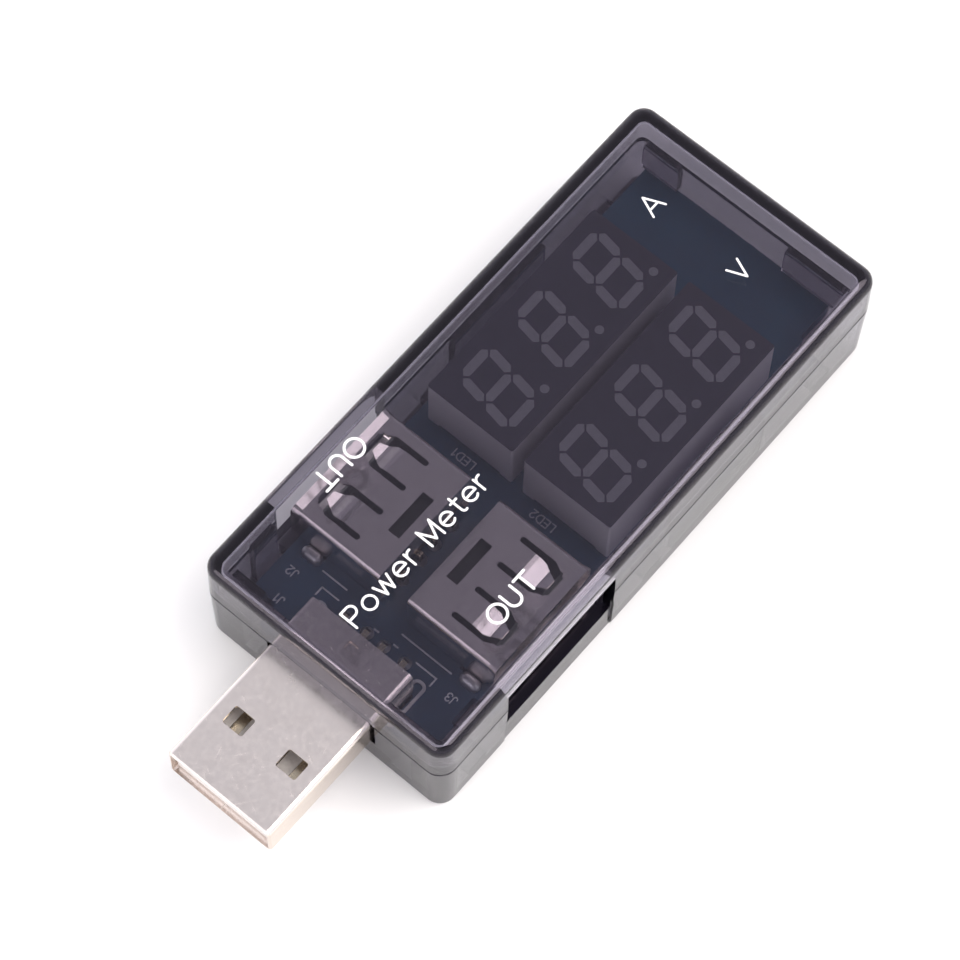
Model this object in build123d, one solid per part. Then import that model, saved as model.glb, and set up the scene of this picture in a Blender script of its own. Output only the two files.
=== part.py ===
from build123d import *
import math
import os

os.makedirs("parts", exist_ok=True)

# Inline USB power meter: a two-part smoked case around a circuit board that carries a plug,
# two sockets in the long sides and two three-digit displays.
# Frame: millimetres, +X towards the end away from the plug, +Y to the left seen from the plug,
# +Z up. The origin is the centre of the bounding box's underside. Lengthwise places are given
# as distances behind the case's plug-end face and turned into X by along().

# Case
case_length = 62.2
case_width = 28.6
case_height = 14.2
parting_height = 8.6
wall = 1.2
top_plate = 1.5
floor = 1.5
corner_radius = 1.8
inner_radius = 0.9
cover_edge_radius = 1.1
base_edge_radius = 0.6
draft_angle = 1.0
parting_chamfer = 0.15

# USB-A plug
plug_reach = 13.6
plug_inside = 5.7
plug_width = 12.0
plug_height = 4.5
plug_sheet = 0.3
plug_bend_radius = 0.55
plug_window = (2.0, 2.3)
plug_window_start = 5.26
plug_window_side = 3.13
plug_tail = 7.41
dimple_place = 4.2
dimple_size = (0.9, 1.1)
dimple_depth = 0.18
pin_sides = (-3.5, -1.0, 1.0, 3.5)
contact_thickness = 0.28

# Circuit board
board_top = 4.4
board_thickness = 1.6
board_start = 2.6
board_end = 60.8
board_side = 11.9

# USB-A sockets in the two long sides
socket_place = 17.0
socket_shift = 0.5
socket_width = 13.1
socket_height = 5.7
socket_sheet = 0.3
socket_rear = 1.7
socket_mouth = 12.05
socket_tongue_reach = 10.4
socket_tail = 1.5
socket_leg = 9.15
lip_length = 0.85
lip_flare = 12
spring_spacing = 6.3
spring_hinge = 5.5
spring_end = 10.95
latch_window = (4.9, 1.3)
latch_place = 3.45
opening_start = 9.0
opening_width = 14.9
opening_low = 4.2
opening_high = 11.7
ledge_gap = 0.05
ledge_drop = 0.2

# Three-digit displays
display_start = 27.25
display_length = 23.8
display_width = 10.15
display_height = 7.0
display_side = 5.73
digit_pitch = 7.84
digit_height = 7.4
digit_width = 4.75
segment_width = 0.95
digit_slant = 9.8
segment_gap = 0.17
segment_depth = 0.35

# Printing
print_pen = 0.26
fine_pen = 0.2
title_pen = 0.225
print_thickness = 0.04
silk_thickness = 0.03

board_bottom = board_top - board_thickness
total_length = plug_reach + case_length
plug_face = plug_reach - total_length / 2
plug_top = board_top + plug_height


def along(distance):
    """X of a place that lies this far behind the case's plug-end face."""
    return plug_face + distance


def block(x, y, z):
    """A box between three (low, high) pairs; x is measured behind the plug-end face."""
    size = [high - low for low, high in (x, y, z)]
    corner = Pos(along(x[0]), y[0], z[0])
    return corner * Box(*size, align=(Align.MIN, Align.MIN, Align.MIN))


def post(x, y, radius, z):
    """An upright cylinder between the (low, high) pair z."""
    shape = Cylinder(radius, z[1] - z[0], align=(Align.CENTER, Align.CENTER, Align.MIN))
    return Pos(along(x), y, z[0]) * shape


def export(name, *shapes):
    """Writes one node from one or more separate solids."""
    solids = [s for shape in shapes for s in shape.solids()]
    whole = solids[0] if len(solids) == 1 else Compound(children=solids)
    export_step(whole, f"parts/{name}.step")


def on_left(shape):
    """A socket piece in its place at the left long side."""
    return Pos(0, socket_shift, 0) * shape


def on_right(shape):
    """The same piece turned half round, for the right long side."""
    turned = Pos(along(socket_place), 0, 0) * Rot(0, 0, 180) * Pos(-along(socket_place), 0, 0) * shape
    return Pos(0, socket_shift, 0) * turned


# ---------------------------------------------------------------- case

def case_prism(low, high, inset, radius, taper=0.0, downwards=False):
    """An upright rounded prism centred on the case; taper pulls in its far end."""
    outline = RectangleRounded(case_length - 2 * inset, case_width - 2 * inset, radius)
    start, reach = (high, -(high - low)) if downwards else (low, high - low)
    sketch = Pos(along(case_length / 2), 0, start) * outline
    return extrude(sketch, amount=reach, taper=taper)


def end_notch(half_width, z):
    """The gap in the plug-end wall that the plug passes through."""
    return block((-1, wall + 0.5), (-half_width, half_width), z)


def side_openings(z):
    """The two socket openings, one in each long wall."""
    reach = (case_width / 2 - wall - 0.6, case_width / 2 + 1)
    hole = block((opening_start, opening_start + opening_width), reach, z)
    return hole + mirror(hole, Plane.XZ)


def make_top_cover():
    outer = case_prism(parting_height, case_height, 0, corner_radius, draft_angle)
    outer = fillet(outer.faces().sort_by(Axis.Z)[-1].edges(), cover_edge_radius)
    outer = chamfer(outer.faces().sort_by(Axis.Z)[0].edges(), parting_chamfer)
    ceiling = case_height - top_plate
    cavity = case_prism(parting_height - 1, ceiling, wall, inner_radius, draft_angle / 2)
    cavity = fillet(cavity.faces().sort_by(Axis.Z)[-1].edges(), 0.4)
    cover = outer - cavity
    cover -= end_notch(plug_width / 2 + 0.12, (parting_height - 1, plug_top + 0.05))
    cover -= side_openings((parting_height - 1, opening_high))
    # shallow ejector marks in the ceiling, over each socket's mouth
    for side in (-1, 1):
        cover -= post(socket_place, side * 10.3, 0.85, (ceiling - 0.5, ceiling + 0.12))
    return cover


def make_bottom_case():
    outer = case_prism(0, parting_height, 0, corner_radius, draft_angle, downwards=True)
    outer = fillet(outer.faces().sort_by(Axis.Z)[0].edges(), base_edge_radius)
    outer = chamfer(outer.faces().sort_by(Axis.Z)[-1].edges(), parting_chamfer)
    cavity = case_prism(floor, parting_height + 1, wall, inner_radius)
    case = outer - cavity
    inner_side = case_width / 2 - wall
    inner_far = case_length - wall
    # pads and rails that carry the board
    for x in (4.0, 28.9, 54.0):
        for side in (-1, 1):
            y = sorted((side * 9.9, side * (inner_side + 0.1)))
            case += block((x, x + 2.4), y, (floor - 0.1, board_bottom))
    for x in (wall - 0.1, inner_far - 1.4):
        case += block((x, x + 1.5), (-8, 8), (floor - 0.1, board_bottom))
    # solid ledges under the socket mouths, from the wall to the board's edge
    for side in (-1, 1):
        y = sorted((side * (board_side + ledge_gap), side * (inner_side + 0.1)))
        case += block((opening_start, opening_start + opening_width), y, (floor - 0.1, opening_low - ledge_drop))
    # tongues that rise inside the cover along the far wall
    for y in ((7.9, 12.2), (-11.9, -4.85)):
        low = board_top + 0.6
        tongue = block((inner_far - 0.75, inner_far - 0.1), y, (low, parting_height + 0.8))
        tongue = fillet(tongue.edges().filter_by(Axis.X).group_by(Axis.Z)[-1], 0.5)
        case += tongue + block((inner_far - 0.2, inner_far + 0.1), y, (low, parting_height - 0.4))
    # alignment tongues along the long walls, behind the displays
    for side in (-1, 1):
        y = sorted((side * (inner_side - 0.75), side * (inner_side - 0.1)))
        case += block((33, 46), y, (floor - 0.1, parting_height + 0.7))
        y = sorted((side * (inner_side - 0.2), side * (inner_side + 0.1)))
        case += block((33, 46), y, (floor, parting_height - 0.4))
    # corner post and snap beside the plug on the left, and its partner on the right
    case += block((wall - 0.1, 3.6), (9.6, inner_side + 0.1), (floor - 0.1, 7.6))
    case += block((5.2, 8.2), (inner_side - 0.75, inner_side - 0.1), (floor - 0.1, 10.2))
    case += block((5.2, 8.2), (inner_side - 0.2, inner_side + 0.1), (floor, parting_height - 0.4))
    case += block((wall - 0.1, 2.4), (-inner_side - 0.1, -10.4), (floor - 0.1, 7.6))
    case -= end_notch(plug_width / 2 + 0.35, (board_top - 0.35, parting_height + 1))
    case -= side_openings((opening_low, parting_height + 3))
    # shallow finger recess below each opening
    low = opening_start - 0.15
    recess = block((low, low + opening_width + 0.3), (case_width / 2 - 0.35, case_width / 2 + 1), (-1, 6))
    case -= recess + mirror(recess, Plane.XZ)
    return case


# ---------------------------------------------------------------- plug

def make_plug_shell():
    length = plug_reach + plug_inside
    middle = Pos(along(-plug_reach), 0, board_top + plug_height / 2)
    profile = Plane.YZ * RectangleRounded(plug_width, plug_height, plug_bend_radius)
    hollow = Plane.YZ * RectangleRounded(
        plug_width - 2 * plug_sheet, plug_height - 2 * plug_sheet, plug_bend_radius - plug_sheet
    )
    outer = extrude(profile, amount=length)
    outer = chamfer(outer.faces().sort_by(Axis.X)[0].outer_wire().edges(), 0.2)
    shell = middle * (outer - extrude(hollow, amount=length))
    # latch windows, two in the top and two in the underside
    start = plug_window_start - plug_reach
    for side in (-1, 1):
        y = side * plug_window_side
        window = block(
            (start, start + plug_window[0]),
            (y - plug_window[1] / 2, y + plug_window[1] / 2),
            (board_top - 1, plug_top + 1),
        )
        shell -= fillet(window.edges().filter_by(Axis.Z), 0.25)
    # the rolled sheet's seam along the underside
    shell -= block((-plug_reach - 1, plug_inside + 1), (-0.04, 0.04), (board_top - 1, board_top + 0.9))
    # two legs through the board, bent down from the sides
    for side in (-1, 1):
        y = sorted((side * plug_width / 2, side * (plug_width / 2 - plug_sheet)))
        leg = block((3.4, 5.4), y, (board_bottom - 0.8, board_top + 1.0))
        tip = leg.edges().filter_by(Axis.Y).group_by(Axis.Z)[0]
        shell += chamfer(tip, 0.5)
    # locating dimple near the rear edge
    shell -= Pos(along(dimple_place), 0, plug_top) * extrude(Rectangle(*dimple_size), amount=-dimple_depth, taper=30)
    return shell


def make_plug_insulator():
    """A block that fills the shell's rear and a tongue whose top carries the contacts."""
    inside = plug_width / 2 - plug_sheet - 0.05
    low = board_top + plug_sheet + 0.05
    high = plug_top - plug_sheet - 0.05
    rear = block((-1.0, plug_inside - 0.3), (-inside, inside), (low, high))
    rear = fillet(rear.edges().filter_by(Axis.X), 0.2)
    tongue = block((-plug_reach + 0.6, 0), (-inside + 0.1, inside - 0.1), (low, low + 1.75))
    body = rear + chamfer(tongue.edges().filter_by(Axis.Y).group_by(Axis.X)[0], 0.4)
    for y in pin_sides:
        body -= block((-plug_reach + 2.0, plug_inside), (y - 0.53, y + 0.53), (low + 1.45, low + 1.76))
    return body


def make_plug_contacts():
    """Blades on the tongue that step down behind the shell and pass through the board."""
    level = board_top + plug_sheet + 0.05 + 1.45
    foot = board_top + 0.05
    pins = []
    for y in pin_sides:
        wide = (y - 0.5, y + 0.5)
        narrow = (y - 0.3, y + 0.3)
        step = (plug_inside + 0.05, plug_inside + 0.05 + contact_thickness)
        tail = (plug_tail - contact_thickness / 2, plug_tail + contact_thickness / 2)
        blade = block((-plug_reach + 2.1, plug_inside - 0.3), wide, (level, level + contact_thickness))
        blade += block((plug_inside - 0.4, step[1]), narrow, (level, level + contact_thickness))
        drop = block(step, narrow, (foot, level + contact_thickness))
        lead = block((step[0], tail[1]), narrow, (foot, foot + contact_thickness))
        pins.append(blade + drop + lead + block(tail, narrow, (board_bottom - 0.8, foot + contact_thickness)))
    return pins


# ---------------------------------------------------------------- sockets (drawn for the left side)

def spring_plan(half, tip_half, reach, start):
    """Outline of a spring arm seen from above, hinge at the origin, mouth along +Y."""
    shoulder = reach - 1.55
    right = [(half, start), (half, shoulder), (tip_half, reach)]
    return Polygon(*right, *[(-x, y) for x, y in reversed(right)], align=None)


def spring_cutout():
    """The slot that frees one spring arm on three sides."""
    slot = spring_plan(1.9, 1.05, spring_end - spring_hinge, 0.3)
    for side in (-1, 1):
        slot += Pos(side * 1.6, 0.3) * Circle(0.3)
    return slot - spring_plan(1.3, 0.5, 4.85, -0.5)


def spring_arm():
    """One spring arm's bent sheet: flat, then dipping into the socket, then turned up at its tip."""
    path = [(2.0, 0), (2.5, -0.06), (3.0, -0.22), (3.4, -0.4), (3.7, -0.53), (3.9, -0.58),
            (4.1, -0.56), (4.25, -0.51), (4.85, -0.28)]
    under = [(y, z - socket_sheet) for y, z in reversed(path)]
    side = Plane.YZ * make_face(Polyline(*path, *under, close=True))
    return extrude(side, amount=1.3, both=True) & extrude(spring_plan(1.3, 0.5, 4.85, 1.9), amount=3, both=True)


def ring(width, height, radius, sheet, length, taper=0.0):
    """A rectangular tube of sheet along +Y from the origin; a negative taper flares it."""
    outer = Plane.XZ * RectangleRounded(width, height, radius)
    inner = Plane.XZ * RectangleRounded(width - 2 * sheet, height - 2 * sheet, radius - sheet)
    return extrude(outer, amount=-length, taper=taper) - extrude(inner, amount=-length, taper=taper)


def make_socket_shell():
    depth = socket_mouth - socket_rear
    roof = board_top + socket_height
    base = Pos(along(socket_place), socket_rear, board_top + socket_height / 2)
    shell = base * ring(socket_width, socket_height, 0.6, socket_sheet, depth)
    # spring arms, two above and two below, each freed by its slot and bent inwards
    for level, up in ((roof, 0), (board_top, 180)):
        for side in (-1, 1):
            x = along(socket_place) + side * spring_spacing / 2
            place = Pos(x, spring_hinge, level) * Rot(0, up, 0)
            shell -= place * extrude(spring_cutout(), amount=socket_sheet + 0.1, both=True)
            shell -= place * Pos(0, 3.6, -0.1) * Box(2.9, 3.1, 0.5)
            shell += place * spring_arm()
    # the lip round the mouth flares at the sides and above, and stays straight below
    start = depth - lip_length
    front = block(
        (socket_place - socket_width, socket_place + socket_width),
        (socket_mouth - lip_length, socket_mouth + 1), (board_top + 0.4, roof + 2),
    )
    shell -= front
    lip = base * Pos(0, start, 0) * ring(socket_width, socket_height, 0.6, socket_sheet, lip_length, -lip_flare)
    shell += lip & front
    # latch window
    long_side, short_side = latch_window
    window = (socket_place - long_side / 2, socket_place + long_side / 2)
    shell -= block(window, (latch_place - short_side / 2, latch_place + short_side / 2), (roof - 0.5, roof + 0.5))
    # closing wall at the rear, above the pins
    shell += block(
        (socket_place - socket_width / 2 + 0.2, socket_place + socket_width / 2 - 0.2),
        (socket_rear, socket_rear + socket_sheet), (board_top + 2.6, roof - 0.2),
    )
    # the underside is open at the rear, where the pins go down
    shell -= block((socket_place - 5.5, socket_place + 5.5), (0, 2.7), (board_top - 1, board_top + 0.6))
    # shield legs through the board at both sides
    for side in (-1, 1):
        edge = socket_place + side * socket_width / 2
        x = sorted((edge, edge - side * socket_sheet))
        leg = block(x, (socket_leg - 0.85, socket_leg + 0.85), (board_bottom - 0.8, board_top + 1.0))
        shell += chamfer(leg.edges().filter_by(Axis.X).group_by(Axis.Z)[0], 0.45)
    return shell


def make_socket_insulator():
    inside = socket_width / 2 - socket_sheet - 0.08
    low = board_top + socket_sheet + 0.08
    high = board_top + socket_height - socket_sheet - 0.85
    rear = socket_rear + socket_sheet + 0.05
    body = block((socket_place - inside, socket_place + inside), (rear, rear + 2.2), (low, high))
    tongue_low = board_top + socket_height / 2 + 0.1
    tongue = block((socket_place - 5.6, socket_place + 5.6), (rear, socket_tongue_reach),
                   (tongue_low, tongue_low + 1.1))
    tongue = chamfer(tongue.edges().filter_by(Axis.X).group_by(Axis.Y)[-1], 0.35)
    body += tongue
    for y in pin_sides:
        x = socket_place + y
        body -= block((x - 0.5, x + 0.5), (rear - 1, socket_tongue_reach - 0.9), (tongue_low - 0.4, tongue_low))
        body -= block((x - 0.5, x + 0.5), (rear - 1, socket_tongue_reach - 0.9),
                      (tongue_low - 0.01, tongue_low + 0.25))
        body -= block((x - 0.35, x + 0.35), (rear - 1, rear + 0.3), (low - 1, tongue_low + 0.25))
    return body


def make_socket_contacts():
    """Blades under the tongue that leave the shell at the rear and pass through the board."""
    rear = socket_rear + socket_sheet + 0.05
    tongue_low = board_top + socket_height / 2 + 0.1
    exit_low = board_top + 1.2
    pins = []
    for y in pin_sides:
        x = socket_place + y
        wide = (x - 0.45, x + 0.45)
        narrow = (x - 0.3, x + 0.3)
        blade = block(wide, (rear, socket_tongue_reach - 1.0), (tongue_low, tongue_low + 0.25))
        crown = Pos(along(x), 8.6, tongue_low) * Rot(0, 90, 0) * Cylinder(0.45, 0.9)
        crown &= block(wide, (8.0, 9.2), (tongue_low - 0.35, tongue_low + 0.1))
        riser = block(narrow, (rear, rear + 0.25), (exit_low, tongue_low + 0.25))
        lead = block(narrow, (socket_tail - 0.12, rear + 0.25), (exit_low, exit_low + 0.25))
        tail = block(narrow, (socket_tail - 0.12, socket_tail + 0.13), (board_bottom - 0.8, exit_low + 0.25))
        pins.append(blade + crown + riser + lead + tail)
    return pins


# ---------------------------------------------------------------- displays

def segment_corners(centre, length, upright):
    """The six corners of one segment, a bar with pointed ends, before the digit leans."""
    half = length / 2 - segment_gap
    thick = segment_width / 2
    run = half - thick * 0.9
    corners = [(-half, 0), (-run, thick), (run, thick), (half, 0), (run, -thick), (-run, -thick)]
    if upright:
        corners = [(y, x) for x, y in reversed(corners)]
    return [(centre[0] + x, centre[1] + y) for x, y in corners]


def digit_faces():
    """The seven segments and the point of one leaning digit, centred on the origin."""
    half_w = (digit_width - segment_width) / 2
    half_h = (digit_height - segment_width) / 2
    lean = math.tan(math.radians(digit_slant))
    segments = [segment_corners((0, y), 2 * half_w, False) for y in (half_h, 0, -half_h)]
    for x in (-half_w, half_w):
        segments += [segment_corners((x, y), half_h, True) for y in (half_h / 2, -half_h / 2)]
    faces = [Polygon(*[(x + y * lean, y) for x, y in corners], align=None) for corners in segments]
    low = -digit_height / 2 + 0.45
    return faces + [Pos(digit_width / 2 + low * lean + 0.85, low) * Circle(0.45)]


def display_digits(centre_y):
    """Every segment and point of one display as flat shapes on its face."""
    middle = display_start + display_length / 2
    faces = []
    for k in (-1, 0, 1):
        faces += [Pos(along(middle + k * digit_pitch), centre_y, 0) * face for face in digit_faces()]
    return faces


def make_display_segments(centre_y):
    top = board_top + display_height
    return [extrude(Pos(0, 0, top - segment_depth) * face, amount=segment_depth, dir=(0, 0, 1))
            for face in display_digits(centre_y)]


def make_display_housing(centre_y):
    top = board_top + display_height
    y = (centre_y - display_width / 2, centre_y + display_width / 2)
    x = (display_start, display_start + display_length)
    body = block(x, y, (board_top, top))
    body = chamfer(body.edges().filter_by(Axis.Z), 0.15)
    # the relief between the feet, open at both ends
    body -= block((x[0] - 1, x[1] + 1), (centre_y - 3.7, centre_y + 3.7), (board_top - 1, board_top + 0.4))
    for row in (-1, 1):
        for pin_x, pin_y in display_pin_places(centre_y, row):
            body -= block((pin_x - 0.26, pin_x + 0.26), (pin_y - 0.26, pin_y + 0.26), (board_top - 1, board_top + 1.2))
    for face in display_digits(centre_y):
        body -= extrude(Pos(0, 0, top - segment_depth) * face, amount=segment_depth + 0.1, dir=(0, 0, 1))
    return body


def display_pin_places(centre_y, row):
    """One row of six pins at 2.54 mm pitch."""
    middle = display_start + display_length / 2
    return [(middle + (k - 2.5) * 2.54, centre_y + row * 4.4) for k in range(6)]


def make_display_pins(centre_y):
    pins = []
    for row in (-1, 1):
        for x, y in display_pin_places(centre_y, row):
            pins.append(block((x - 0.22, x + 0.22), (y - 0.22, y + 0.22), (board_bottom - 0.8, board_top + 1.1)))
    return pins


# ---------------------------------------------------------------- circuit board

def pin_places():
    """Every pin that passes through the board, as (distance, y)."""
    places = [(plug_tail, y) for y in pin_sides]
    for side in (-1, 1):
        places += [(socket_place + y, side * socket_tail + socket_shift) for y in pin_sides]
    for side in (-1, 1):
        for row in (-1, 1):
            places += display_pin_places(side * display_side, row)
    return places


def leg_slots():
    """Slots for the shield legs, as (distance, y, length along X, length along Y)."""
    slots = [(4.4, side * (plug_width / 2 - plug_sheet / 2), 2.4, 0.6) for side in (-1, 1)]
    for side in (-1, 1):
        for edge in (-1, 1):
            x = socket_place + edge * (socket_width / 2 - socket_sheet / 2)
            slots.append((x, side * socket_leg + socket_shift, 0.6, 2.1))
    return slots


def make_circuit_board():
    z = (board_bottom, board_top)
    side = board_side
    corners = (
        (board_start, -11.0), (5.5, -11.0), (6.0, -10.3), (9.0, -10.3), (9.0, -side),
        (55.7, -side), (56.4, -10.4), (board_end, -10.4), (board_end, side),
        (4.2, side), (4.2, 9.2), (board_start, 9.2),
    )
    outline = Polygon(*[(along(x), y) for x, y in corners], align=None)
    outline = fillet(outline.vertices(), 0.25)
    board = extrude(Pos(0, 0, z[0]) * outline, amount=board_thickness)
    for x, y in pin_places():
        board -= post(x, y, 0.45, (z[0] - 1, z[1] + 1))
    for x, y, long_x, long_y in leg_slots():
        board -= block((x - long_x / 2, x + long_x / 2), (y - long_y / 2, y + long_y / 2), (z[0] - 1, z[1] + 1))
    return board


def solder_collar(x, y, radius, low, high):
    """A cone of solder round a square pin, clear of it by a hair."""
    cone = Cone(radius, radius * 0.55, high - low, align=(Align.CENTER, Align.CENTER, Align.MIN))
    cone = Pos(along(x), y, low) * cone
    return cone - block((x - 0.31, x + 0.31), (y - 0.31, y + 0.31), (low - 1, high + 1))


def make_solder_joints():
    joints = []
    # above the board only the plug's and sockets' pins show a collar
    for index, (x, y) in enumerate(pin_places()):
        if index < 3 * len(pin_sides):
            collar = solder_collar(x, y, 0.66, board_top, board_top + 0.42)
            if index < len(pin_sides):
                collar -= block((x - 1, x), (y - 0.31, y + 0.31), (board_top - 1, board_top + 1))
            joints.append(collar)
        joints.append(solder_collar(x, y, 0.75, board_bottom - 0.55, board_bottom))
    # long beads over the sockets' shield legs
    for side in (-1, 1):
        for edge in (-1, 1):
            x = socket_place + edge * (socket_width / 2 + 0.62)
            y = side * (socket_leg + 0.3) + socket_shift / 2
            bead = extrude(Pos(along(x), y, board_top) * Rot(0, 0, 90) * SlotOverall(2.2, 1.24), amount=0.9)
            joints.append(fillet(bead.faces().sort_by(Axis.Z)[-1].edges(), 0.58))
    # raised rims of tin round the plug's two legs, outside its shell
    for side in (-1, 1):
        outline = Pos(along(4.9), side * 5.9, board_top) * RectangleRounded(4.4, 1.5, 0.65)
        rim = extrude(outline, amount=0.22)
        inner = Pos(along(4.9), side * 5.9, board_top - 1) * RectangleRounded(3.8, 0.9, 0.35)
        rim -= extrude(inner, amount=3)
        rim -= block((0, plug_inside + 0.03), (-plug_width / 2 - 0.03, plug_width / 2 + 0.03), (0, 9))
        joints.append(rim)
    return joints


# Strokes of each character at cap height 1: a run of points is a polyline, and five plain
# numbers are an arc (centre x, centre y, radius, start angle, swept angle).
glyphs = {
    "A": (0.86, [[(0, 0), (0.43, 1), (0.86, 0)], [(0.15, 0.34), (0.71, 0.34)]]),
    "V": (0.84, [[(0, 1), (0.42, 0), (0.84, 1)]]),
    "O": (0.96, [(0.48, 0.5, 0.5, 0, 360)]),
    "U": (0.76, [[(0, 1), (0, 0.38)], (0.38, 0.38, 0.38, 180, 180), [(0.76, 0.38), (0.76, 1)]]),
    "T": (0.8, [[(0, 1), (0.8, 1)], [(0.4, 1), (0.4, 0)]]),
    "P": (0.68, [[(0, 0), (0, 1), (0.4, 1)], (0.4, 0.73, 0.27, 90, -180), [(0.4, 0.46), (0, 0.46)]]),
    "M": (0.86, [[(0, 0), (0, 1), (0.43, 0.1), (0.86, 1), (0.86, 0)]]),
    "L": (0.52, [[(0, 1), (0, 0), (0.52, 0)]]),
    "E": (0.6, [[(0.6, 1), (0, 1), (0, 0), (0.6, 0)], [(0, 0.52), (0.54, 0.52)]]),
    "D": (0.74, [[(0.24, 0), (0, 0), (0, 1), (0.24, 1)], (0.24, 0.5, 0.5, 90, -180)]),
    "J": (0.46, [[(0.46, 1), (0.46, 0.23)], (0.23, 0.23, 0.23, 0, -180)]),
    "1": (0.26, [[(0, 0.78), (0.26, 1), (0.26, 0)]]),
    "2": (0.6, [(0.3, 0.72, 0.28, 170, -210), [(0.53, 0.56), (0, 0), (0.6, 0)]]),
    "3": (0.56, [(0.27, 0.74, 0.25, 160, -250), (0.27, 0.26, 0.27, 90, -250)]),
    "e": (0.68, [(0.34, 0.36, 0.34, 0, 315), [(0, 0.36), (0.68, 0.36)]]),
    "o": (0.7, [(0.35, 0.36, 0.35, 0, 360)]),
    "r": (0.34, [[(0, 0), (0, 0.72)], (0.3, 0.4, 0.3, 180, -100)]),
    "t": (0.4, [[(0.16, 0.96), (0.16, 0.16)], (0.32, 0.16, 0.16, 180, 110), [(0, 0.71), (0.4, 0.71)]]),
    "w": (0.92, [[(0, 0.72), (0.23, 0), (0.46, 0.7), (0.69, 0), (0.92, 0.72)]]),
    " ": (0.3, []),
}


def stroke_faces(stroke, size, pen):
    """One stroke of a character as flat shapes of the pen's width."""
    if isinstance(stroke, list):
        shapes = []
        for (x0, y0), (x1, y1) in zip(stroke, stroke[1:]):
            reach = math.hypot(x1 - x0, y1 - y0) * size
            turn = math.degrees(math.atan2(y1 - y0, x1 - x0))
            middle = Pos((x0 + x1) / 2 * size, (y0 + y1) / 2 * size)
            shapes.append(middle * Rot(0, 0, turn) * SlotCenterToCenter(reach, pen))
        return shapes
    x, y, radius, start, swept = stroke
    centre = (x * size, y * size)
    if abs(swept) == 360:
        return [Pos(*centre) * (Circle(radius * size + pen / 2) - Circle(radius * size - pen / 2))]
    return [SlotArc(CenterArc(centre, radius * size, start, swept), pen)]


def lettering(words, size, pen, spacing=0.24):
    """Words as flat shapes, centred on the origin and reading along +X."""
    faces = []
    reach = 0
    for letter in words:
        advance, strokes = glyphs[letter]
        glyph = Sketch()
        for stroke in strokes:
            for face in stroke_faces(stroke, size, pen):
                glyph += face
        if strokes:
            faces.append(Pos(reach, -size / 2) * glyph)
        reach += (advance + spacing) * size
    shift = -(reach - spacing * size) / 2
    return [Pos(shift, 0) * face for face in faces]


def printed(words, size, pen, x, y, z, turn, thickness, spacing=0.24):
    """Words printed at a place on the object as thin solids."""
    place = Pos(along(x), y, z) * Rot(0, 0, turn)
    return [extrude(place * face, amount=thickness) for face in lettering(words, size, pen, spacing)]


def make_silkscreen():
    marks = []

    def line(x, y):
        marks.append(block(x, y, (board_top, board_top + silk_thickness)))

    line((9.32, 9.48), (5.1, 8.1))
    line((9.32, 9.48), (-7.4, -1.45))
    for side, y in ((1, (5.0, 7.1)), (-1, (-6.55, -4.2))):
        line((8.07, 8.23), y)
        tip = sorted((side * 6.95, side * 7.11)) if side > 0 else (-6.71, -6.55)
        line((7.2, 8.23), tip)
    line((8.08, 8.24), (0.2, 0.8))
    line((8.08, 8.24), (-2.1, -1.5))
    for name, x, y in (("LED1", 26.2, 5.47), ("LED2", 26.2, -4.0),
                       ("J2", 7.5, 10.1), ("J1", 4.7, 9.2), ("J3", 7.55, -8.9)):
        marks += printed(name, 0.82, 0.12, x, y, board_top, 90, silk_thickness)
    return marks


def make_board_components():
    """Two measuring chips, two shunts and small parts, all on the board's underside."""
    chips = []
    for y in (-5.7, 5.7):
        chip = block((33.5, 40.0), (y - 2.2, y + 2.2), (board_bottom - 1.05, board_bottom - 0.12))
        chip = chamfer(chip.edges().filter_by(Axis.Y) + chip.edges().filter_by(Axis.X), 0.12)
        chips.append(chip)
    return chips


def make_chip_leads():
    leads = []
    for y in (-5.7, 5.7):
        for k in range(10):
            x = 36.75 + (k - 4.5) * 0.65
            for side in (-1, 1):
                root = sorted((y + side * 2.2, y + side * 2.6))
                foot = sorted((y + side * 2.6, y + side * 3.1))
                arm = block((x - 0.11, x + 0.11), root, (board_bottom - 0.62, board_bottom - 0.5))
                drop = sorted((y + side * 2.48, y + side * 2.6))
                arm += block((x - 0.11, x + 0.11), drop, (board_bottom - 0.62, board_bottom))
                arm += block((x - 0.11, x + 0.11), foot, (board_bottom - 0.12, board_bottom))
                leads.append(arm)
    return leads


def make_small_parts():
    """Two shunts under the sockets and rows of chip resistors and capacitors."""
    parts = []
    for y in (-5.6, 5.6):
        parts.append(block((13.6, 19.9), (y - 1.6, y + 1.6), (board_bottom - 0.65, board_bottom)))
    for x in (24.6, 27.0, 47.2, 49.6, 55.0):
        for y in (-6.6, -2.4, 2.4, 6.6):
            parts.append(block((x, x + 1.6), (y - 0.4, y + 0.4), (board_bottom - 0.5, board_bottom)))
    return parts


# ---------------------------------------------------------------- lettering on the cover

def make_cover_lettering():
    letters = (
        ("A", 2.05, fine_pen, 53.95, 6.42, 0),
        ("V", 1.85, fine_pen, 53.95, -4.05, 0),
        ("OUT", 1.85, print_pen, 15.6, 11.1, 180),
        ("OUT", 1.8, print_pen, 15.6, -8.95, 0),
        ("Power Meter", 1.95, title_pen, 13.7, 0.55, 0),
    )
    pieces = []
    for words, size, pen, x, y, turn in letters:
        pieces += printed(words, size, pen, x, y, case_height, turn, print_thickness, 0.27)
    return pieces


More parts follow.
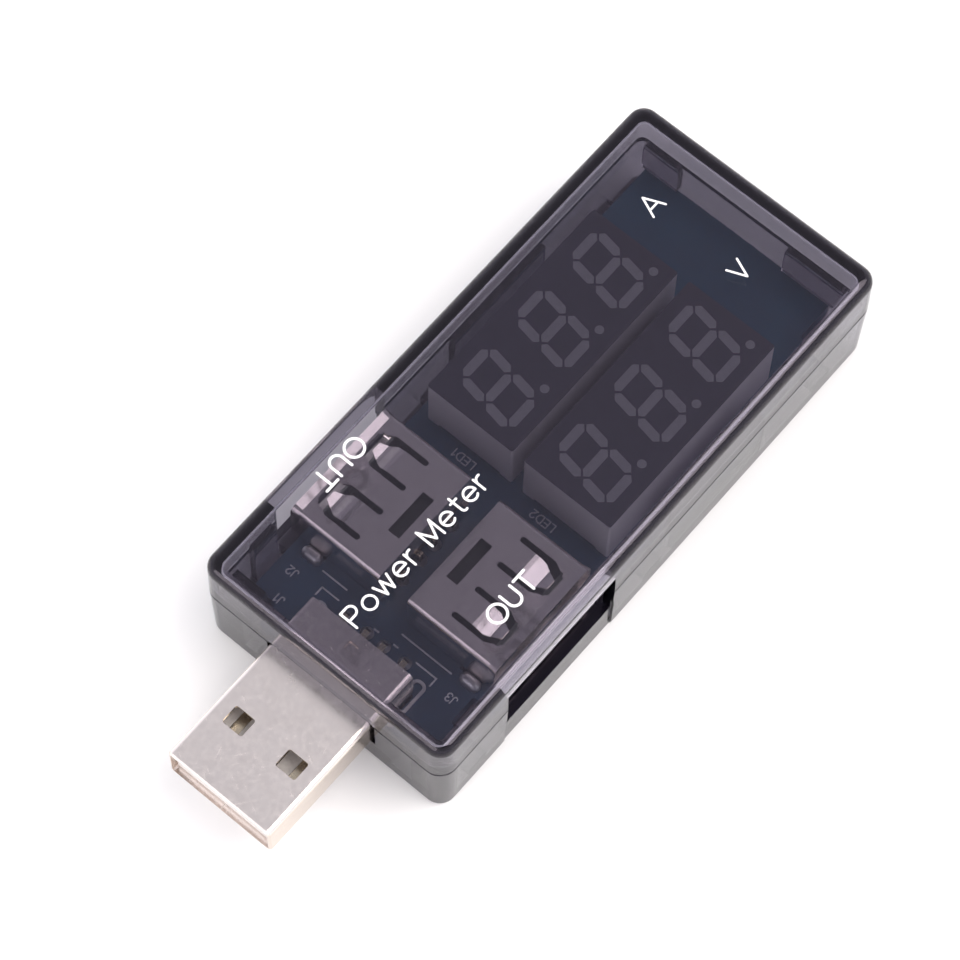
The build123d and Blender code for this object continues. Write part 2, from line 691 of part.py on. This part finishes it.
export("top_cover", make_top_cover())
export("bottom_case", make_bottom_case())
export("cover_lettering", *make_cover_lettering())
export("circuit_board", make_circuit_board())
export("board_silkscreen", *make_silkscreen())
export("measuring_chips", *make_board_components())
export("measuring_chip_leads", *make_chip_leads())
export("board_small_parts", *make_small_parts())
export("solder_joints", *make_solder_joints())
export("plug_shell", make_plug_shell())
export("plug_insulator", make_plug_insulator())
export("plug_contacts", *make_plug_contacts())
for side_name, place in (("left", on_left), ("right", on_right)):
    export(f"{side_name}_socket_shell", place(make_socket_shell()))
    export(f"{side_name}_socket_insulator", place(make_socket_insulator()))
    export(f"{side_name}_socket_contacts", *[place(pin) for pin in make_socket_contacts()])
for name, centre_y in (("current_display", display_side), ("voltage_display", -display_side)):
    export(f"{name}_housing", make_display_housing(centre_y))
    export(f"{name}_segments", *make_display_segments(centre_y))
    export(f"{name}_pins", *make_display_pins(centre_y))
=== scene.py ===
import math
import bpy
from mathutils import Matrix, Vector

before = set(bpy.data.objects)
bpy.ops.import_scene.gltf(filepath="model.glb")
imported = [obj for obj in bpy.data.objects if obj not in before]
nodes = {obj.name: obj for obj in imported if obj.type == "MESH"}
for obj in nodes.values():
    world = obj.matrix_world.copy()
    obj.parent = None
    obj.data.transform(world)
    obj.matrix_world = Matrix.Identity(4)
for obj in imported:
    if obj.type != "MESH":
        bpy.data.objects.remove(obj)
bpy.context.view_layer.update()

MM = 0.001

# Viewing place: the point looked at, then angles in degrees, distance and lens in millimetres.
LOOK_AT_MM = (0.61, 2.44, 7.0)
VIEW_AZIMUTH = -51.35
VIEW_ELEVATION = 66.76
VIEW_ROLL = 1.77
VIEW_DISTANCE_MM = 347.5
LENS_MM = 142.3
SENSOR_MM = 36.0

# The white room: radiance against the height of the direction, and its slight cool tint.
ROOM_LEVELS = ((0.0, 1.25), (0.45, 1.1), (0.8, 0.65), (1.0, 0.55))
ROOM_TINT = (0.97, 0.962, 1.03)

# Two soft lamps aimed at the origin: place and size in metres, power in watts.
LAMP_TINT = (1.0, 0.955, 0.90)
KEY_LAMP = {"place": (0.31, -0.40, 0.86), "size": (0.72, 0.72), "power": 6.5}
SIDE_LAMP = {"place": (-0.80, 0.10, 0.60), "size": (0.9, 0.6), "power": 5.0}

# The floor is a square sheet just below the part, so that it never touches the underside.
FLOOR_HALF = 3.0
FLOOR_DROP = 0.0002

# Smoked plastic: its index, the tint of its reflections and the colour that its bulk lets through.
PLASTIC_INDEX = 1.52
PLASTIC_SHEEN = (0.92, 0.84, 1.0, 1.0)
PLASTIC_SMOKE = (0.49, 0.468, 0.537, 1.0)
COVER_DENSITY = 1080.0
BASE_DENSITY = 1700.0

# How far below the displays' top the dark face begins and is complete.
FACE_BEGINS_MM = 0.07
FACE_COMPLETE_MM = 0.04

# The board is painted lighter and bluer between these two places along X: painted light, brighter towards the
# far end.
BOARD_NEAR_MM = -20.0
BOARD_FAR_MM = 30.0

# Directions of the plug's hairline scratches, in radians about Z.
SCRATCH_TURNS = (0.5, -0.9, 1.3)


# ------------------------------------------------------------------ node helpers

class Shader:
    """A small wrapper that builds one node material."""

    def __init__(self, name):
        self.material = bpy.data.materials.new(name)
        self.material.use_nodes = True
        self.tree = self.material.node_tree
        self.tree.nodes.clear()
        self.output = self.tree.nodes.new("ShaderNodeOutputMaterial")

    def add(self, kind, inputs=None, **settings):
        """Adds a node; an input may be a plain value or another node's output."""
        node = self.tree.nodes.new("ShaderNode" + kind)
        for key, value in settings.items():
            setattr(node, key, value)
        for key, value in (inputs or {}).items():
            if isinstance(value, bpy.types.NodeSocket):
                self.tree.links.new(value, node.inputs[key])
            else:
                node.inputs[key].default_value = value
        return node

    def close(self, output_name, node):
        """Sends a node to the material's surface or volume."""
        self.tree.links.new(node.outputs[0], self.output.inputs[output_name])

    def surface(self, inputs):
        self.close("Surface", self.add("BsdfPrincipled", inputs))

    def position(self):
        return self.add("TexCoord").outputs["Object"]

    def part_of(self, vector, axis):
        return self.add("SeparateXYZ", {0: vector}).outputs[axis]

    def noise(self, scale, detail=3.0, roughness=0.5, stretch=None, turn=0.0):
        """Noise in object space; scale is in waves per millimetre, turn is in radians about Z."""
        place = self.position()
        if stretch:
            place = self.add("Mapping", {"Vector": place, "Rotation": (0.0, 0.0, turn)}).outputs["Vector"]
            place = self.add("Mapping", {"Vector": place, "Scale": stretch}).outputs["Vector"]
        inputs = {"Vector": place, "Scale": scale / MM, "Detail": detail, "Roughness": roughness}
        return self.add("TexNoise", inputs).outputs["Fac"]

    def ramp(self, factor, *stops):
        """A colour ramp through (place, colour) stops."""
        node = self.add("ValToRGB", {"Fac": factor})
        elements = node.color_ramp.elements
        while len(elements) < len(stops):
            elements.new(0.5)
        for element, (place, colour) in zip(elements, stops):
            element.position = place
            element.color = (*colour, 1.0)
        return node.outputs["Color"]

    def cloud(self, factor, dark, light):
        """A soft change of colour over the middle of a noise."""
        return self.ramp(factor, (0.3, dark), (0.7, light))

    def blend(self, factor, first, second):
        node = self.add("Mix", {0: factor, 6: first, 7: second}, data_type="RGBA")
        return node.outputs[2]

    def spread(self, factor, low, high, start=0.0, end=1.0):
        """A number from low to high as factor goes from start to end."""
        inputs = {"Value": factor, "From Min": start, "From Max": end, "To Min": low, "To Max": high}
        return self.add("MapRange", inputs).outputs["Result"]

    def math(self, operation, a, b=0.0, c=0.0):
        return self.add("Math", {0: a, 1: b, 2: c}, operation=operation).outputs[0]

    def bump(self, height, depth_mm, strength, normal=None):
        inputs = {"Height": height, "Distance": depth_mm * MM, "Strength": strength}
        if normal is not None:
            inputs["Normal"] = normal
        return self.add("Bump", inputs).outputs["Normal"]


# ------------------------------------------------------------------ materials

def smoked_plastic(name, density, clearness):
    """See-through plastic; clearness is how much of a shadow ray each of its faces lets by."""
    s = Shader(name)
    fine = s.noise(0.9, 4.0, 0.55)
    scratches = s.noise(1.2, 2.0, 0.5, (1.0, 0.06, 1.0))
    glass = s.add("BsdfPrincipled", {
        "Base Color": (1.0, 1.0, 1.0, 1.0),
        "Transmission Weight": 1.0,
        "IOR": PLASTIC_INDEX,
        "Specular Tint": PLASTIC_SHEEN,
        "Roughness": s.spread(s.math("MULTIPLY", fine, scratches), 0.015, 0.07, 0.15, 0.45),
        "Normal": s.bump(fine, 0.0015, 0.25),
    })
    clear = s.add("BsdfTransparent", {"Color": (clearness, clearness, clearness, 1.0)})
    shadow = s.add("LightPath").outputs["Is Shadow Ray"]
    s.close("Surface", s.add("MixShader", {0: shadow, 1: glass.outputs[0], 2: clear.outputs[0]}))
    s.close("Volume", s.add("VolumeAbsorption", {"Color": PLASTIC_SMOKE, "Density": density}))
    return s.material


def ink(name, dark, light, scale, detail, low, high):
    """Printing ink: matt and flat, with a little mottling."""
    s = Shader(name)
    grain = s.noise(scale, detail)
    s.surface({
        "Base Color": s.cloud(grain, dark, light),
        "Roughness": s.spread(grain, low, high),
    })
    return s.material


def board_blue():
    """Solder mask: dark blue over a fine weave, with painted light that makes it a little brighter towards
    the far end.
    """
    s = Shader("board_blue")
    weave = s.noise(2.2, 3.0)
    patch = s.noise(0.18, 2.0)
    # Painted light: the colour brightens towards the far end along X. The patches add tone that differs at
    # random.
    along = s.part_of(s.position(), "X")
    far = s.spread(along, 0.0, 0.5, BOARD_NEAR_MM * MM, BOARD_FAR_MM * MM)
    blueness = s.math("ADD", far, s.spread(patch, 0.0, 0.5, 0.3, 0.7))
    near_blue = (0.010, 0.036, 0.078)
    middle_blue = (0.011, 0.056, 0.112)
    far_blue = (0.010, 0.078, 0.140)
    s.surface({
        "Base Color": s.ramp(blueness, (0.0, near_blue), (0.5, middle_blue), (1.0, far_blue)),
        "Roughness": s.spread(weave, 0.32, 0.45),
        "Normal": s.bump(weave, 0.001, 0.3),
        "Coat Weight": 0.4,
        "Coat Roughness": 0.2,
    })
    return s.material


def moulding(name, dark, light, low, high, bump=0.004):
    """A moulded opaque plastic with fine grain."""
    s = Shader(name)
    grain = s.noise(3.0, 4.0)
    s.surface({
        "Base Color": s.cloud(grain, dark, light),
        "Roughness": s.spread(grain, low, high),
        "Normal": s.bump(grain, bump, 0.4),
    })
    return s.material


def metal(name, dark, light, low, high, scale=1.0, scratch_mm=0.0, side=None):
    """Plated or tinned metal with clouded grain and, if asked, hairline scratches and a darker painted shade
    on its upright sides.
    """
    s = Shader(name)
    clouds = s.noise(scale, 4.0, 0.6)
    grain = s.noise(scale * 3, 3.0, 0.6)
    rough = s.spread(grain, low, high, 0.3, 0.7)
    normal = s.bump(grain, 0.0002, 0.3)
    if scratch_mm:
        for turn in SCRATCH_TURNS:
            lines = s.noise(3.0, 2.0, 0.5, (1.0, 0.12, 1.0), turn)
            mark = s.spread(lines, 0.0, 1.0, 0.64, 0.74)
            rough = s.math("MULTIPLY_ADD", mark, 0.05, rough)
            normal = s.bump(mark, scratch_mm, 0.4, normal)
    colour = s.cloud(clouds, dark, light)
    # Painted shade: upright faces take the darker side colour instead of the metal's own colour.
    if side:
        upright = s.part_of(s.add("NewGeometry").outputs["True Normal"], "Z")
        level = s.spread(s.math("ABSOLUTE", upright), 0.0, 1.0, 0.1, 0.95)
        colour = s.blend(level, (*side, 1.0), colour)
    s.surface({
        "Base Color": colour,
        "Metallic": 1.0,
        "Roughness": rough,
        "Normal": normal,
    })
    return s.material


def display_plastic():
    """A pale body with a dark face, which starts just below the displays' top."""
    s = Shader("display_plastic")
    grain = s.noise(3.0, 4.0)
    top = max(z for x, y, z in nodes["current_display_housing"].bound_box)
    height = s.part_of(s.position(), "Z")
    face = s.spread(height, 0.0, 1.0, top - FACE_BEGINS_MM * MM, top - FACE_COMPLETE_MM * MM)
    pale = s.cloud(grain, (0.52, 0.51, 0.54), (0.60, 0.59, 0.62))
    dark = s.cloud(grain, (0.045, 0.043, 0.066), (0.055, 0.052, 0.077))
    s.surface({
        "Base Color": s.blend(face, pale, dark),
        "Roughness": s.spread(grain, 0.35, 0.5),
        "Normal": s.bump(grain, 0.0008, 0.3),
    })
    return s.material


def dress(slot, material, *node_names):
    """Gives CAD nodes their material; the slot is not used."""
    for name in node_names:
        mesh = nodes[name].data
        mesh.materials.clear()
        mesh.materials.append(material)


def dress_case():
    dress("smoked_plastic", smoked_plastic("smoked_plastic", COVER_DENSITY, 0.85), "top_cover")
    dress("smoked_plastic", smoked_plastic("smoked_plastic_base", BASE_DENSITY, 0.7), "bottom_case")
    white = ink("white_print", (0.90, 0.90, 0.91), (0.98, 0.98, 0.98), 6.0, 3.0, 0.38, 0.5)
    dress("white_print", white, "cover_lettering")


def dress_board():
    dress("board_blue", board_blue(), "circuit_board")
    legend = ink("board_print", (0.45, 0.47, 0.52), (0.62, 0.64, 0.68), 9.0, 2.0, 0.5, 0.7)
    dress("board_print", legend, "board_silkscreen")
    black = moulding("chip_black", (0.012, 0.012, 0.012), (0.02, 0.02, 0.02), 0.5, 0.65)
    dress("chip_black", black, "measuring_chips")
    ceramic = moulding("ceramic_grey", (0.10, 0.085, 0.07), (0.16, 0.14, 0.12), 0.4, 0.6)
    dress("ceramic_grey", ceramic, "board_small_parts")
    tin = metal("tin", (0.42, 0.42, 0.44), (0.58, 0.58, 0.60), 0.34, 0.5)
    dress("tin", tin, "measuring_chip_leads", "solder_joints", "current_display_pins", "voltage_display_pins")


def dress_connectors():
    nickel = metal("nickel_plate", (0.90, 0.83, 0.80), (0.97, 0.90, 0.87), 0.18, 0.22, 0.7)
    dress("nickel_plate", nickel, "left_socket_shell", "right_socket_shell")
    # The plug shell: real hairline scratches, and painted shade that darkens its upright sides.
    rubbed_and_shaded = metal("rubbed_nickel_painted_shade", (0.93, 0.85, 0.81), (0.99, 0.91, 0.87), 0.16, 0.26, 0.7,
                   scratch_mm=0.0003, side=(0.66, 0.58, 0.51))
    dress("nickel_plate", rubbed_and_shaded, "plug_shell")
    gold = metal("contact_metal", (0.52, 0.45, 0.34), (0.60, 0.53, 0.42), 0.2, 0.3)
    dress("contact_metal", gold, "plug_contacts", "left_socket_contacts", "right_socket_contacts")
    dark = moulding("insulator", (0.02, 0.02, 0.022), (0.035, 0.035, 0.037), 0.4, 0.55)
    dress("insulator", dark, "left_socket_insulator", "right_socket_insulator")
    pale = moulding("pale_insulator", (0.62, 0.59, 0.57), (0.72, 0.69, 0.67), 0.4, 0.55)
    dress("pale_insulator", pale, "plug_insulator")


def dress_displays():
    dress("display_plastic", display_plastic(), "current_display_housing", "voltage_display_housing")
    film = moulding("segment_film", (0.23, 0.23, 0.26), (0.27, 0.27, 0.30), 0.4, 0.5, bump=0.0008)
    dress("segment_film", film, "current_display_segments", "voltage_display_segments")


# ------------------------------------------------------------------ stage

def link(thing):
    bpy.context.scene.collection.objects.link(thing)
    return thing


def add_camera():
    azimuth = math.radians(VIEW_AZIMUTH)
    elevation = math.radians(VIEW_ELEVATION)
    back = Vector((
        math.sin(azimuth) * math.cos(elevation),
        -math.cos(azimuth) * math.cos(elevation),
        math.sin(elevation),
    ))
    data = bpy.data.cameras.new("camera")
    data.lens = LENS_MM
    data.sensor_width = SENSOR_MM
    data.clip_start = 0.01
    data.clip_end = 20.0
    camera = link(bpy.data.objects.new("camera", data))
    place = Matrix.Translation((Vector(LOOK_AT_MM) + back * VIEW_DISTANCE_MM) * MM)
    turn = (-back).to_track_quat("-Z", "Y").to_matrix().to_4x4()
    roll = Matrix.Rotation(math.radians(VIEW_ROLL), 4, "Z")
    camera.matrix_world = place @ turn @ roll
    bpy.context.scene.camera = camera


def add_lamp(name, place, size, power):
    data = bpy.data.lights.new(name, "AREA")
    data.color = LAMP_TINT
    data.shape = "RECTANGLE"
    data.size, data.size_y = size
    data.energy = power
    lamp = link(bpy.data.objects.new(name, data))
    lamp.location = place
    lamp.rotation_mode = "QUATERNION"
    lamp.rotation_quaternion = (-Vector(place)).to_track_quat("-Z", "Y")


def add_floor():
    mesh = bpy.data.meshes.new("floor")
    corners = [(x * FLOOR_HALF, y * FLOOR_HALF, 0) for x, y in ((-1, -1), (1, -1), (1, 1), (-1, 1))]
    mesh.from_pydata(corners, [], [(0, 1, 2, 3)])
    floor = link(bpy.data.objects.new("floor", mesh))
    floor.location = (0, 0, -FLOOR_DROP)
    s = Shader("floor_paper")
    grain = s.noise(0.02, 2.0)
    s.surface({"Base Color": s.cloud(grain, (0.94, 0.94, 0.94), (0.96, 0.96, 0.96)), "Roughness": 0.9})
    mesh.materials.append(s.material)


def add_world():
    """A white room: brighter towards the horizon, dimmer overhead."""
    world = bpy.data.worlds.new("studio")
    bpy.context.scene.world = world
    world.use_nodes = True
    tree = world.node_tree
    place = tree.nodes.new("ShaderNodeTexCoord").outputs["Generated"]
    split = tree.nodes.new("ShaderNodeSeparateXYZ")
    tree.links.new(place, split.inputs[0])
    ramp = tree.nodes.new("ShaderNodeValToRGB")
    tree.links.new(split.outputs["Z"], ramp.inputs[0])
    elements = ramp.color_ramp.elements
    while len(elements) < len(ROOM_LEVELS):
        elements.new(0.5)
    for element, (height, level) in zip(elements, ROOM_LEVELS):
        element.position = height
        element.color = (*(level * part for part in ROOM_TINT), 1.0)
    tree.links.new(ramp.outputs["Color"], tree.nodes["Background"].inputs["Color"])


dress_case()
dress_board()
dress_connectors()
dress_displays()
add_camera()
add_floor()
add_world()
add_lamp("key", **KEY_LAMP)
add_lamp("side", **SIDE_LAMP)
bpy.context.scene.view_settings.view_transform = "Standard"
